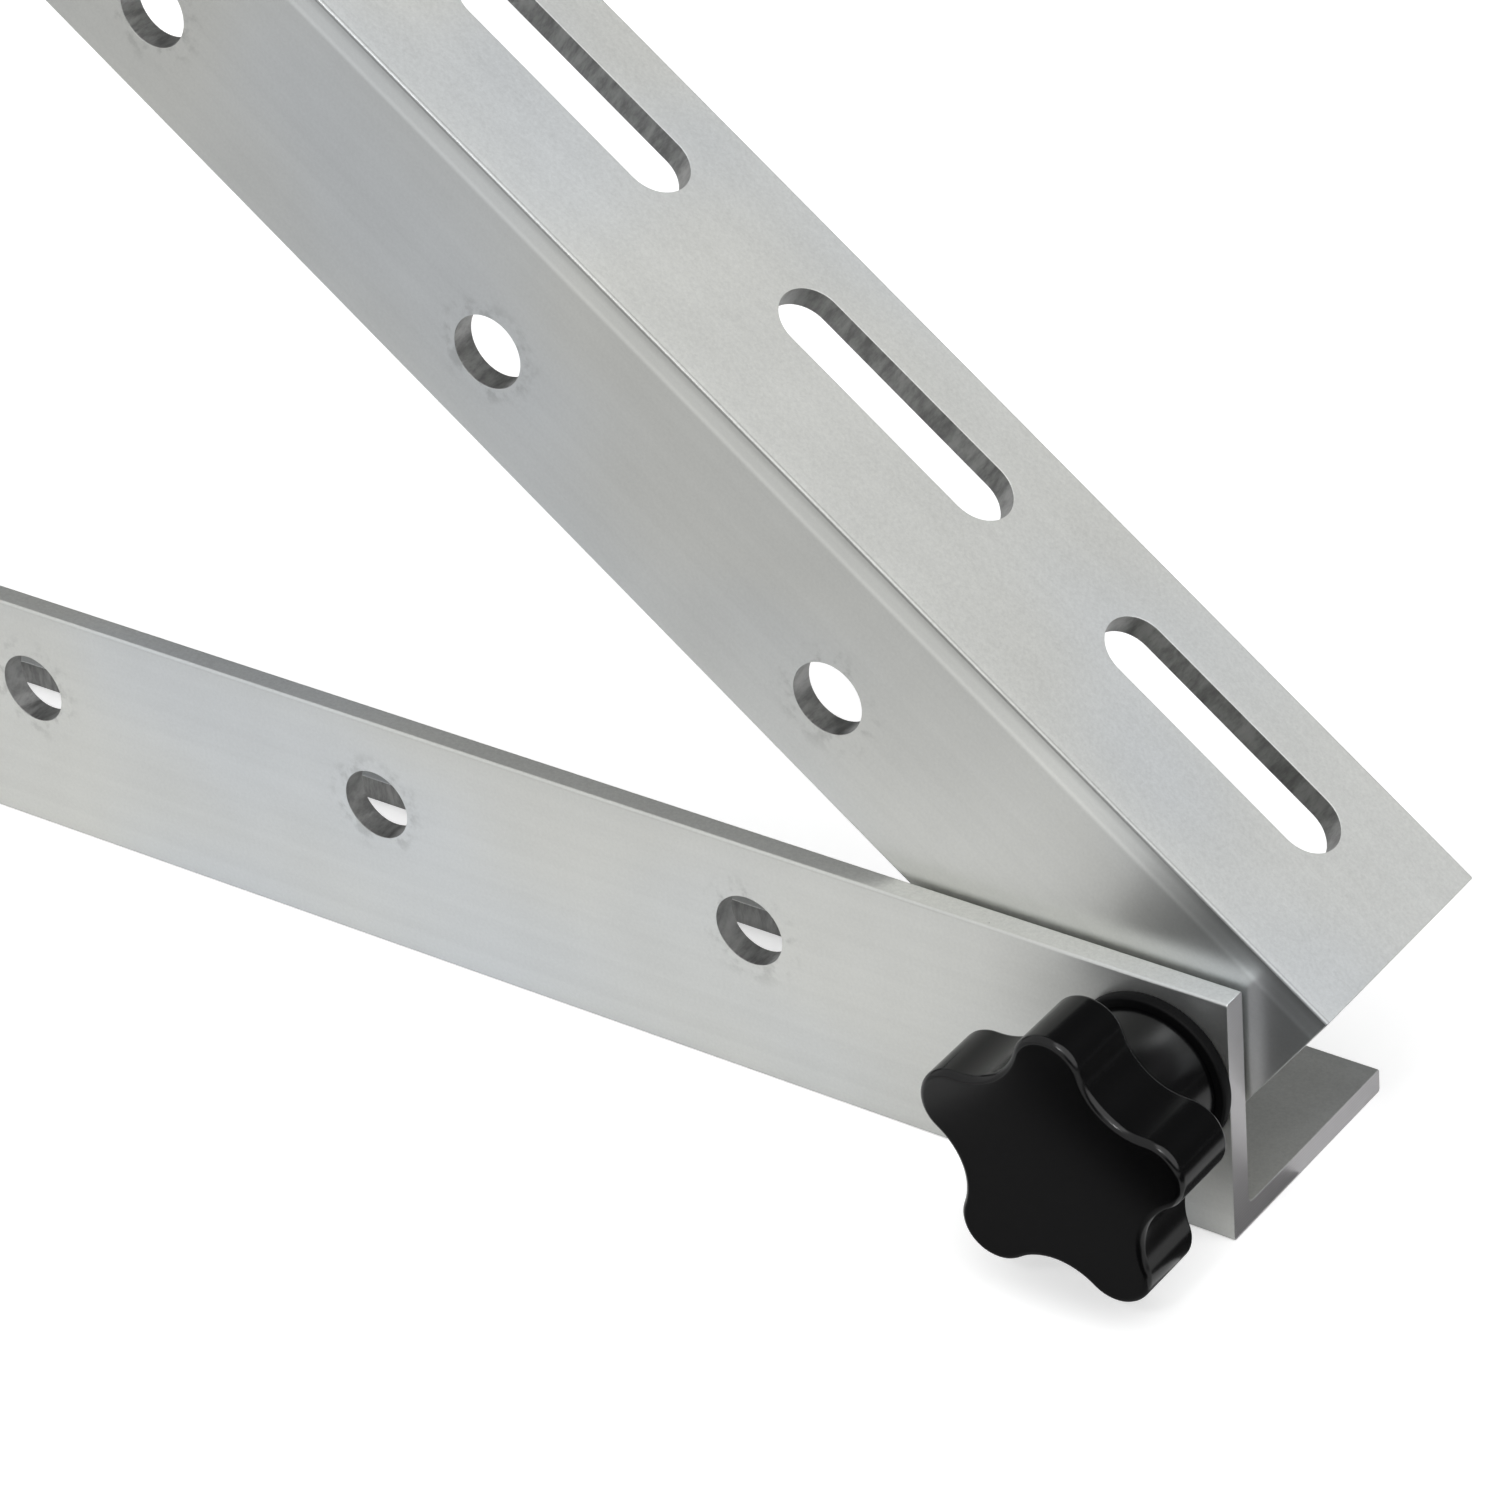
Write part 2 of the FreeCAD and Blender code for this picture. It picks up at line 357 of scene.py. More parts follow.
def new_group(name, inputs, outputs):
    """An empty node group; inputs and outputs are lists of (name, socket type)."""
    group = bpy.data.node_groups.new(name, "ShaderNodeTree")
    for socket_name, kind in inputs:
        group.interface.new_socket(socket_name, in_out="INPUT", socket_type=kind)
    for socket_name, kind in outputs:
        group.interface.new_socket(socket_name, in_out="OUTPUT", socket_type=kind)
    return group, group.nodes.new("NodeGroupInput").outputs, group.nodes.new("NodeGroupOutput").inputs


def use(tree, group, **inputs):
    """Places a node group."""
    node = tree.nodes.new("ShaderNodeGroup")
    node.node_tree = group
    for name, value in inputs.items():
        if isinstance(value, bpy.types.NodeSocket):
            tree.links.new(value, node.inputs[name])
        else:
            node.inputs[name].default_value = value
    return node.outputs


def finish_material(name, tree_maker):
    """A material whose nodes are made by tree_maker(tree), which returns the shader's inputs."""
    material = bpy.data.materials.new(name)
    material.use_nodes = True
    tree = material.node_tree
    tree.nodes.clear()
    shader = add(tree, "ShaderNodeBsdfPrincipled", tree_maker(tree))
    output = tree.nodes.new("ShaderNodeOutputMaterial")
    tree.links.new(shader.outputs[0], output.inputs["Surface"])
    return material


def rail_coordinates(tree, spot, turn):
    """Object coordinates as the rail's own: X along it, Y back from its front face, Z from its hinge hole."""
    coordinates = add(tree, "ShaderNodeTexCoord").outputs["Object"]
    inputs = {"Vector": coordinates, "Location": spot, "Rotation": turn}
    return add(tree, "ShaderNodeMapping", inputs, vector_type="TEXTURE").outputs[0]


# Effects that several finishes share

DIE_LINE_SCALE = (4, 5200, 5200)  # patches in a metre, long along the rail
DIE_BAND_SCALE = (1.5, 420, 420)
GRAIN_SCALE = 2600.0
TINT_SHIFT = (0.31, 0.17, 0.43)  # keeps the tint's patches apart from the tone's
MARK_TEAR_SCALE = 1500.0
MARK_TEAR = 0.5 * MM  # how far a mark's outline is torn
MARK_SHAPE = (1.0, 1.0, 0.4)  # longest along Z
SMALLEST_MARK = 0.008  # of the spacing
MARK_SIZE_SPREAD = 0.020
FINE_RELIEF = 0.02 * MM


def die_line_group():
    """Fine lines and faint bands that the extrusion die leaves along X."""
    group, given, made = new_group(
        "die_lines", [("Vector", "NodeSocketVector")],
        [("Lines", "NodeSocketFloat"), ("Bands", "NodeSocketFloat")],
    )
    fine = stretched(group, given["Vector"], DIE_LINE_SCALE)
    broad = stretched(group, given["Vector"], DIE_BAND_SCALE)
    group.links.new(noise(group, fine, 1.0, 2.0), made["Lines"])
    group.links.new(noise(group, broad, 1.0, 3.0, 0.6), made["Bands"])
    return group


def clouding_group():
    """Soft patches of handled, slightly oxidised metal or of a moulded skin, and a fine grain."""
    group, given, made = new_group(
        "clouding", [("Vector", "NodeSocketVector"), ("Scale", "NodeSocketFloat")],
        [("Tone", "NodeSocketFloat"), ("Tint", "NodeSocketFloat"), ("Grain", "NodeSocketFloat")],
    )
    slid = shifted(group, given["Vector"], TINT_SHIFT)
    group.links.new(noise(group, given["Vector"], given["Scale"], 2.0), made["Tone"])
    group.links.new(noise(group, slid, given["Scale"], 1.0), made["Tint"])
    group.links.new(noise(group, given["Vector"], GRAIN_SCALE, 4.0, 0.65), made["Grain"])
    return group


def marks_group():
    """Sparse nicks and short scratches; the mask is 1 on a mark. Share is how many of the places hold one."""
    group, given, made = new_group(
        "handling_marks",
        [("Vector", "NodeSocketVector"), ("Spacing", "NodeSocketFloat"), ("Share", "NodeSocketFloat")],
        [("Mask", "NodeSocketFloat")],
    )
    inputs = {"Vector": given["Vector"], "Scale": MARK_TEAR_SCALE, "Detail": 2.0}
    torn = add(group, "ShaderNodeTexNoise", inputs).outputs["Color"]
    moved = shifted(group, given["Vector"], lit(group, torn, MARK_TEAR))
    scale = maths(group, "DIVIDE", 1.0, given["Spacing"])
    inputs = {"Vector": stretched(group, moved, MARK_SHAPE), "Scale": scale, "Randomness": 1.0}
    cells = add(group, "ShaderNodeTexVoronoi", inputs).outputs
    drawn = add(group, "ShaderNodeSeparateColor", {0: cells["Color"]}).outputs
    few = maths(group, "LESS_THAN", drawn[0], given["Share"])
    size = total(group, SMALLEST_MARK, (drawn[1], MARK_SIZE_SPREAD))
    group.links.new(both(group, between(group, cells["Distance"], size, 0.0), few), made["Mask"])
    return group


DIE_LINES = die_line_group()
CLOUDING = clouding_group()
MARKS = marks_group()

# The rails' skin. A zone is (where an effect starts, where it is full), by height from the outer corner or by
# depth behind the front face.
FRONT_DEPTH = (0.5 * MM, 0.05 * MM)
# The next six zones hold painted light and shade along the outer corner
FOLD_SHADE_HEIGHT = (1.6 * MM, 0.5 * MM)
BAND_HEIGHT = (WALL + 0.4 * MM, WALL - 0.1 * MM)
LINE_REACH = (0.6 * MM, 0.1 * MM)  # to both sides of the band's end
ROUND_REACH = (0.5 * MM, 0.3 * MM)  # by height and by depth
STRIP_HEIGHT = (0.3 * MM, 0.1 * MM)
STRIP_DEPTH = (1.3 * MM, 0.7 * MM)
INSIDE_HEIGHT = (2 * MM, 2.8 * MM)
INSIDE_DEPTH = (3.1 * MM, 3.6 * MM)
# Zone of the long edge's painted highlight
LONG_EDGE_HEIGHT = (FLANGE_HEIGHT - 0.5 * MM, FLANGE_HEIGHT - 0.2 * MM)
SMUDGE_REACH = 3.5 * MM  # past a hole's rim

# How much light each effect on the skin adds or takes, as a share
SKIN_LIGHT = 0.90
CLOUD_LIGHT = 0.14
PATCH_LIGHT = 0.07
DIE_BAND_LIGHT = 0.13
GRAIN_LIGHT = 0.38
FRONT_GRAIN_LIGHT = -0.20  # the front is calmer
# The next five paint light and shade along the outer corner
FOLD_SHADE_LIGHT = -0.24
BAND_LIGHT = 0.16
LINE_LIGHT = 0.12
ROUND_LIGHT = -0.42
STRIP_LIGHT = 0.06
SMUDGE_LIGHT = -0.22
MARK_LIGHT = -0.6

# The skin's shade and how metallic it is
SKIN_SHADE = 0.6324
# Painted highlight on the long edge
LONG_EDGE_PAINTED_LIGHT = 0.155  # added
SKIN_METAL = 0.30
FRONT_METAL = 0.60  # added, and so are the next two
INSIDE_METAL = 0.46
LONG_EDGE_METAL = 0.50
SKIN_ROUGHNESS = 0.24
BLUISH_TINT = (0.965, 0.998, 1.016, 1)
YELLOWISH_TINT = (0.998, 1.006, 0.968, 1)


def mill_aluminium(name, spot, turn, corner, painted_sheen_strength):
    """Extruded aluminium as it leaves the mill. corner is the Z of the outer corner, and the last argument
    how strongly the painted light and shade along the outer corner show."""

    def nodes(tree):
        rail = rail_coordinates(tree, spot, turn)
        x, y, z = add(tree, "ShaderNodeSeparateXYZ", {0: rail}).outputs
        height = apart(tree, z, corner)
        front = between(tree, y, *FRONT_DEPTH)
        # Painted light and shade along the outer corner: on the front face a painted darker zone at the fold,
        # then a lighter band a wall wide, then a thin light line; together they paint the sheen of the
        # shallow band opposite the other flange
        painted_corner_sheen = total(
            tree, 0.0, (between(tree, height, *FOLD_SHADE_HEIGHT), FOLD_SHADE_LIGHT),
            (between(tree, height, *BAND_HEIGHT), BAND_LIGHT),
            (between(tree, apart(tree, height, WALL), *LINE_REACH), LINE_LIGHT),
        )
        # Painted shade dulls the highlight on the corner's round, and a painted highlight lightens the strip
        # beside it on the other face
        rounded = both(tree, between(tree, height, *ROUND_REACH), between(tree, y, *ROUND_REACH))
        strip = both(tree, between(tree, height, *STRIP_HEIGHT), between(tree, y, *STRIP_DEPTH))
        painted_edge_light = total(tree, 0.0, (rounded, ROUND_LIGHT), (strip, STRIP_LIGHT))
        # The die leaves the front, the flange's inside and the long edge more metallic than the flange's
        # outside; the long edge's face also gets a painted highlight
        inside = both(tree, between(tree, height, *INSIDE_HEIGHT), between(tree, y, *INSIDE_DEPTH))
        behind = maths(tree, "SUBTRACT", 1.0, front)
        long_edge = both(tree, between(tree, height, *LONG_EDGE_HEIGHT), behind)
        # Smudges that the punch leaves round the holes
        along = maths(tree, "WRAP", x, HOLE_PITCH / 2, -HOLE_PITCH / 2)
        squares = maths(tree, "MULTIPLY_ADD", along, along, maths(tree, "MULTIPLY", z, z))
        rim = between(tree, maths(tree, "SQRT", squares), HOLE_RADIUS + SMUDGE_REACH, HOLE_RADIUS)
        smudge = both(tree, rim, between(tree, noise(tree, rail, 420.0, 4.0, 0.6), 0.48, 0.66))

        die = use(tree, DIE_LINES, Vector=rail)
        cloud = use(tree, CLOUDING, Vector=rail, Scale=26.0)
        patches = use(tree, CLOUDING, Vector=rail, Scale=130.0)["Tone"]
        marks = use(tree, MARKS, Vector=rail, Spacing=0.012, Share=0.4)["Mask"]
        mottling = total(tree, GRAIN_LIGHT, (front, FRONT_GRAIN_LIGHT))
        # The light adds random tone, grain, smudges and marks to the painted light and shade along the outer
        # corner
        light = total(
            tree, SKIN_LIGHT, (cloud["Tone"], CLOUD_LIGHT), (patches, PATCH_LIGHT),
            (off_middle(tree, die["Bands"]), DIE_BAND_LIGHT), (off_middle(tree, cloud["Grain"]), mottling),
            (smudge, SMUDGE_LIGHT), (both(tree, painted_corner_sheen, front), painted_sheen_strength), (painted_edge_light, painted_sheen_strength),
            (marks, MARK_LIGHT),
        )
        # The skin's shade, with a painted highlight on the long edge
        shade_of_grey = total(tree, SKIN_SHADE, (long_edge, LONG_EDGE_PAINTED_LIGHT))
        tint = blend_colours(tree, between(tree, cloud["Tint"], 0.35, 0.65), BLUISH_TINT, YELLOWISH_TINT)
        relief = total(tree, die["Lines"], (cloud["Grain"], 0.6), (marks, -3.0))
        return {
            "Base Color": lit(tree, tint, maths(tree, "MULTIPLY", light, shade_of_grey)),
            "Metallic": total(
                tree, SKIN_METAL, (front, FRONT_METAL), (inside, INSIDE_METAL), (long_edge, LONG_EDGE_METAL)
            ),
            "Roughness": total(tree, SKIN_ROUGHNESS, (cloud["Tone"], 0.10), (die["Bands"], 0.08)),
            "Normal": bumped(tree, relief, 0.35, FINE_RELIEF),
        }

    return finish_material(name, nodes)


def saw_cut(name, spot, turn):
    """The rail's sawn end, with fine arcs of the blade across it."""
    colour = (0.50, 0.49, 0.50)

    def nodes(tree):
        rail = rail_coordinates(tree, spot, turn)
        tone = use(tree, CLOUDING, Vector=rail, Scale=160.0)["Tone"]
        inputs = {"Vector": rail, "Scale": 900.0, "Distortion": 1.5, "Detail": 2.0}
        arcs = add(tree, "ShaderNodeTexWave", inputs, bands_direction="Z").outputs["Fac"]
        light = total(tree, 0.86, (tone, 0.25), (arcs, 0.08))
        return {
            "Base Color": lit(tree, colour, light), "Metallic": 0.75, "Roughness": 0.42,
            "Normal": bumped(tree, arcs, 0.3, FINE_RELIEF),
        }

    return finish_material(name, nodes)


def punched_wall(name, spot, turn):
    """The wall of a punched hole, torn across its thickness."""
    colour = (0.40, 0.40, 0.395)
    tear_scale = (900, 240, 240)
    tear_relief = 0.08 * MM

    def nodes(tree):
        rail = rail_coordinates(tree, spot, turn)
        torn = noise(tree, stretched(tree, rail, tear_scale), 1.0, 4.0, 0.7)
        light = total(tree, 0.65, (between(tree, torn, 0.3, 0.7), 0.6))
        return {
            "Base Color": lit(tree, colour, light), "Metallic": 1.0,
            "Roughness": total(tree, 0.35, (torn, 0.25)),
            "Normal": bumped(tree, torn, 0.5, tear_relief),
        }

    return finish_material(name, nodes)


def moulded_plastic(name, colour, roughness, level):
    """Injection-moulded plastic with a faint skin and a little dust. level is the shader's specular level."""
    dust_colour = (0.5, 0.5, 0.5, 1)
    dust_share = 0.015

    def nodes(tree):
        coordinates = add(tree, "ShaderNodeTexCoord").outputs["Object"]
        cloud = use(tree, CLOUDING, Vector=coordinates, Scale=90.0)
        dust = use(tree, MARKS, Vector=coordinates, Spacing=0.007, Share=0.3)["Mask"]
        plain = lit(tree, colour, total(tree, 0.75, (cloud["Tone"], 0.5)))
        dusty = maths(tree, "MULTIPLY", dust, dust_share)
        return {
            "Base Color": blend_colours(tree, dusty, plain, dust_colour),
            "Roughness": total(tree, roughness - 0.04, (cloud["Tone"], 0.08)),
            "Specular IOR Level": level,
            "Normal": bumped(tree, cloud["Grain"], 0.06, FINE_RELIEF),
        }

    return finish_material(name, nodes)


def zinc_plate(name):
    """Bright zinc on steel, faintly yellow and blue."""
    bluish, yellowish = (0.62, 0.64, 0.68, 1), (0.69, 0.66, 0.58, 1)

    def nodes(tree):
        coordinates = add(tree, "ShaderNodeTexCoord").outputs["Object"]
        cloud = use(tree, CLOUDING, Vector=coordinates, Scale=140.0)
        marks = use(tree, MARKS, Vector=coordinates, Spacing=0.004, Share=0.4)["Mask"]
        tint = blend_colours(tree, between(tree, cloud["Tint"], 0.3, 0.7), bluish, yellowish)
        light = total(tree, 0.9, (cloud["Tone"], 0.2), (marks, -0.35))
        return {
            "Base Color": lit(tree, tint, light), "Metallic": 1.0,
            "Roughness": total(tree, 0.22, (cloud["Tone"], 0.15)),
            "Normal": bumped(tree, cloud["Grain"], 0.15, FINE_RELIEF),
        }

    return finish_material(name, nodes)


# Rails


def angle_bar(name):
    """The L section at full length: hinge hole at the origin, outer corner at the bottom front."""
    far, bottom = END_MARGIN - RAIL_LENGTH, -HOLE_LINE
    bar = block(name, (far, 0, bottom), (END_MARGIN, WALL, bottom + FLANGE_HEIGHT))
    pick(bar, "FACE", lambda centre, normal: True)
    bpy.ops.mesh.bisect(plane_co=(0, 0, bottom + WALL), plane_no=(0, 0, 1))
    pick(bar, "FACE", lambda centre, normal: normal.y > 0.5 and centre.z < bottom + WALL)
    bpy.ops.mesh.extrude_region_move(TRANSFORM_OT_translate={"value": (0, FLANGE_DEPTH - WALL, 0)})
    bpy.ops.mesh.select_all(action="SELECT")
    bpy.ops.mesh.dissolve_limited(angle_limit=math.radians(1))

    def lengthways(first, second):
        return abs(first.x - second.x) > RAIL_LENGTH / 2

    def near_root(co, reach):
        return abs(co.y - WALL) < reach and abs(co.z - bottom - WALL) < reach

    def outer(first, second):
        return lengthways(first, second) and not near_root(first, 2 * ROOT_ROUND)

    pick(bar, "EDGE", lambda first, second: lengthways(first, second) and near_root(first, SAME))
    bpy.ops.mesh.bevel(offset=ROOT_ROUND, segments=4, affect="EDGES")
    pick(bar, "EDGE", outer)
    bpy.ops.mesh.bevel(offset=LONG_EDGE_ROUND, segments=4, affect="EDGES")
    bpy.ops.object.mode_set(mode="OBJECT")
    return bar


def hole_punch():
    """One cutter for a row of holes through the upright flange."""
    punch = round_bar("hole_punch", HOLE_RADIUS, (0, -WALL, 0), 2 * WALL, "Y", 64)
    row_of(punch, HOLE_COUNT, (-HOLE_PITCH, 0, 0))
    return punch


def slot_punch():
    """One cutter for a row of round-ended slots through the foot flange."""
    half = (SLOT_LENGTH - SLOT_WIDTH) / 2
    first = END_MARGIN - SLOT_MARGIN
    low, high = -HOLE_LINE - WALL, -HOLE_LINE + 2 * WALL
    ends = [
        round_bar("slot_end", SLOT_WIDTH / 2, (first + side * half, SLOT_LINE, low), high, "Z", 64)
        for side in (-1, 1)
    ]
    activate(*ends)
    bpy.ops.object.join()
    punch = bpy.context.object
    edit_all(punch)
    bpy.ops.mesh.convex_hull()
    bpy.ops.object.mode_set(mode="OBJECT")
    row_of(punch, SLOT_COUNT, (-SLOT_PITCH, 0, 0))
    return punch


def punched_rail(name, skin, sawn, walls):
    """The whole rail, with the materials of its skin, its sawn ends and its punched walls."""
    rail = angle_bar(name)
    dress(rail, skin, sawn, walls)
    pick(rail, "FACE", lambda centre, normal: abs(normal.x) > 0.9)
    rail.active_material_index = 1
    bpy.ops.object.material_slot_assign()
    for punch in (hole_punch(), slot_punch()):
        dress(punch, walls)
        combine(rail, punch, "DIFFERENCE", material_mode="TRANSFER")
    modify(
        rail, "BEVEL", width=CUT_EDGE_BREAK, segments=2, limit_method="ANGLE",
        angle_limit=math.radians(60), use_clamp_overlap=False,
    )
    shade(rail)
    return rail


# Each rail's place, the Z of its outer corner from its hinge hole, and how strongly the painted light and
# shade along its outer corner show, strong on the panel rail and faint on the base rail
BASE_PLACE = Matrix.Translation((0, BASE_FRONT, HOLE_LINE))
PANEL_PLACE = Matrix.Translation((0, PANEL_FRONT, HOLE_LINE)) @ Matrix.Rotation(HINGE_ANGLE, 4, "Y")
RAILS = {"base": (BASE_PLACE, -HOLE_LINE, 0.15), "panel": (PANEL_PLACE, HOLE_LINE, 1.0)}


def make_rails():
    """Both rails are the same punched bar. The panel rail is turned end for end, so its flange is on top."""
    last_hole = Matrix.Translation((-(HOLE_COUNT - 1) * HOLE_PITCH, 0, 0))
    end_for_end = last_hole @ Matrix.Rotation(math.pi, 4, "Y")
    for body, (matrix, corner, painted_sheen_strength) in RAILS.items():
        spot, turn = matrix.to_translation(), matrix.to_euler()
        rail = punched_rail(
            f"{body}_angle",
            mill_aluminium(f"mill_aluminium_{body}", spot, turn, corner, painted_sheen_strength),
            saw_cut(f"sawn_aluminium_{body}", spot, turn),
            punched_wall(f"punched_aluminium_{body}", spot, turn),
        )
        place(rail, matrix @ end_for_end if body == "panel" else matrix)
        onto(rail, body, "rail_aluminium", f"{body}_rail")


# Star knob


def star_outline():
    """The star's outline in the plane of the knob's front: arcs of lobes and valleys, each spun from the
    end of the one before, which they meet tangentially."""
    half_step = math.pi / STAR_LOBES
    lobe_place = STAR_TIP - LOBE_ROUND
    reach = lobe_place * math.cos(half_step)
    square = lobe_place**2 + STAR_VALLEY**2 - 2 * reach * STAR_VALLEY - LOBE_ROUND**2
    valley_round = square / (2 * (LOBE_ROUND - STAR_VALLEY + reach))
    valley_place = STAR_VALLEY + valley_round

    def spoke(radius, angle):
        return Vector((radius * math.cos(angle), KNOB_FRONT, HOLE_LINE + radius * math.sin(angle)))

    # Half of each lobe's arc, from the direction between a lobe's centre and the valley's beside it
    across = Vector((valley_place * math.cos(half_step) - lobe_place, valley_place * math.sin(half_step)))
    lobe_half = math.atan2(across.y, across.x)
    valley_half = lobe_half - half_step
    first = STAR_TURN - lobe_half
    activate()
    bpy.ops.mesh.primitive_circle_add(vertices=3, radius=MM, location=spoke(lobe_place, STAR_TURN))
    star = settle("star_knob_moulding")
    edit_all(star)
    bpy.ops.mesh.merge(type="CENTER")
    bpy.ops.transform.translate(value=(LOBE_ROUND * math.cos(first), 0, LOBE_ROUND * math.sin(first)))
    for i in range(STAR_LOBES):
        lobe = STAR_TURN + 2 * i * half_step
        lobe_centre, valley_centre = spoke(lobe_place, lobe), spoke(valley_place, lobe + half_step)
        bpy.ops.mesh.spin(steps=LOBE_STEPS, angle=2 * lobe_half, center=lobe_centre, axis=(0, 1, 0))
        bpy.ops.mesh.spin(steps=VALLEY_STEPS, angle=-2 * valley_half, center=valley_centre, axis=(0, 1, 0))
    bpy.ops.mesh.select_all(action="SELECT")
    bpy.ops.mesh.remove_doubles(threshold=CLOSE)
    bpy.ops.mesh.edge_face_add()
    return star


def on_circle(radius, y):
    """A test for edges that lie on a circle about the hinge axis."""

    def test(first, second):
        return all(
            abs(co.y - y) < CLOSE and abs(math.hypot(co.x, co.z - HOLE_LINE) - radius) < 10 * CLOSE
            for co in (first, second)
        )

    return test


def make_knob():
    """Star and hub in one moulding, round the bolt's head and shank."""
    star = star_outline()
    star_back = KNOB_FRONT + STAR_THICKNESS
    bpy.ops.mesh.extrude_region_move(TRANSFORM_OT_translate={"value": (0, STAR_THICKNESS, 0)})
    bpy.ops.mesh.select_all(action="SELECT")
    bpy.ops.mesh.normals_make_consistent(inside=False)
    for rim, rounding in ((KNOB_FRONT, STAR_FRONT_ROUND), (star_back, STAR_BACK_ROUND)):
        pick(star, "EDGE", lambda first, second: abs(first.y - rim) < SAME and abs(second.y - rim) < SAME)
        bpy.ops.mesh.bevel(offset=rounding, segments=5, affect="EDGES")

    stations = [(HUB_ROOT_RADIUS, star_back - MM), (HUB_ROOT_RADIUS, star_back), (HUB_FACE_RADIUS, HUB_FACE)]
    combine(star, turned("hub", stations), "UNION")
    for radius, y, rounding in (
        (HUB_ROOT_RADIUS, star_back, HUB_ROOT_ROUND),
        (HUB_FACE_RADIUS, HUB_FACE, HUB_FACE_ROUND),
    ):
        pick(star, "EDGE", on_circle(radius, y))
        bpy.ops.mesh.bevel(offset=rounding, segments=4, affect="EDGES")

    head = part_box("knob_bolt")[0].y
    seat = head + HEAD_HEIGHT
    bore = round_bar("bore", THREAD_RADIUS + BOLT_ROOM, (0, seat - MM, HOLE_LINE), HUB_FACE + MM, "Y", 48)
    pocket = round_bar(
        "pocket", HEX_CORNER + BOLT_ROOM, (0, head - BOLT_ROOM, HOLE_LINE), seat + BOLT_ROOM, "Y", 6, HEX_TURN
    )
    for cutter in (bore, pocket):
        combine(star, cutter, "DIFFERENCE")
    clear(star)
    shade(star, 30)
    dress(star, moulded_plastic("gloss_black_plastic", (0.0009, 0.0009, 0.0011), 0.2, 0.36))
    onto(star, "knob", "knob_black", "star_knob")


# Bolt, nut and washers


def thread_bar(start, end):
    """A threaded bar about the hinge axis: one tooth of the thread, screwed along it and cut off square."""
    activate()
    root = THREAD_RADIUS - THREAD_DEPTH
    middle = (THREAD_RADIUS - THREAD_DEPTH / 2, 0, 0)
    bpy.ops.mesh.primitive_plane_add(size=1, location=middle)
    bpy.ops.transform.resize(value=(THREAD_DEPTH, THREAD_PITCH, 1), center_override=middle)
    bar = settle("threaded_bolt")
    pick(bar, "FACE", lambda centre, normal: True)
    bpy.ops.mesh.delete(type="ONLY_FACE")
    pick(bar, "EDGE", lambda first, second: first.x < root + SAME and second.x < root + SAME)
    bpy.ops.mesh.delete(type="EDGE")
    pick(bar, "VERT", lambda co: co.x > root + SAME)
    bpy.ops.transform.resize(value=(1, CREST_SHARE, 1), center_override=(THREAD_RADIUS, 0, 0))
    bpy.ops.object.mode_set(mode="OBJECT")
    spare_turns = 2  # at each end
    modify(
        bar, "SCREW", axis="Y", angle=2 * math.pi, screw_offset=THREAD_PITCH,
        steps=THREAD_STEPS, render_steps=THREAD_STEPS,
        iterations=math.ceil((end - start) / THREAD_PITCH) + 2 * spare_turns,
        use_merge_vertices=True, merge_threshold=SAME, use_normal_calculate=True,
    )
    place(bar, Matrix.Translation((0, start - spare_turns * THREAD_PITCH, HOLE_LINE)))
    pick(bar, "FACE", lambda centre, normal: True)
    bpy.ops.mesh.remove_doubles(threshold=SAME)
    for y, outwards in ((start, -1), (end, 1)):
        bpy.ops.mesh.bisect(plane_co=(0, y, 0), plane_no=(0, outwards, 0), use_fill=True, clear_outer=True)
        bpy.ops.mesh.select_all(action="SELECT")
    bpy.ops.mesh.fill_holes(sides=8)
    bpy.ops.mesh.normals_make_consistent(inside=False)
    bpy.ops.object.mode_set(mode="OBJECT")
    return bar


def turned(name, stations, sides=96):
    """A turned bar about the hinge axis. Stations are (radius, place along Y), in order."""
    (radius, first), (_, second) = stations[:2]
    bar = round_bar(name, radius, (0, first, HOLE_LINE), second, "Y", sides)
    pick(bar, "VERT", lambda co: abs(co.y - second) < SAME)
    before = second
    for number, (wanted, y) in enumerate(stations[1:]):
        if number:
            bpy.ops.mesh.extrude_region_move(TRANSFORM_OT_translate={"value": (0, y - before, 0)})
        share = wanted / radius
        bpy.ops.transform.resize(value=(share, 1, share), center_override=(0, y, HOLE_LINE))
        radius, before = wanted, y
    bpy.ops.object.mode_set(mode="OBJECT")
    return bar


def hexagon(name, low, high):
    """A hexagon bar about the hinge axis with turned corners."""
    bar = round_bar(name, HEX_CORNER, (0, low, HOLE_LINE), high, "Y", 6, HEX_TURN)
    pick(bar, "EDGE", lambda first, second: abs(first.y - second.y) > SAME)
    bpy.ops.mesh.bevel(offset=HEX_EDGE_ROUND, segments=2, affect="EDGES")
    bpy.ops.object.mode_set(mode="OBJECT")
    drop = (HEX_CORNER - HEX_FACE_RADIUS) * math.tan(HEX_CORNER_SLOPE)
    stations = [
        (HEX_FACE_RADIUS, low), (HEX_CORNER, low + drop),
        (HEX_CORNER, high - drop), (HEX_FACE_RADIUS, high),
    ]
    combine(bar, turned("turning", stations), "INTERSECT")
    return bar


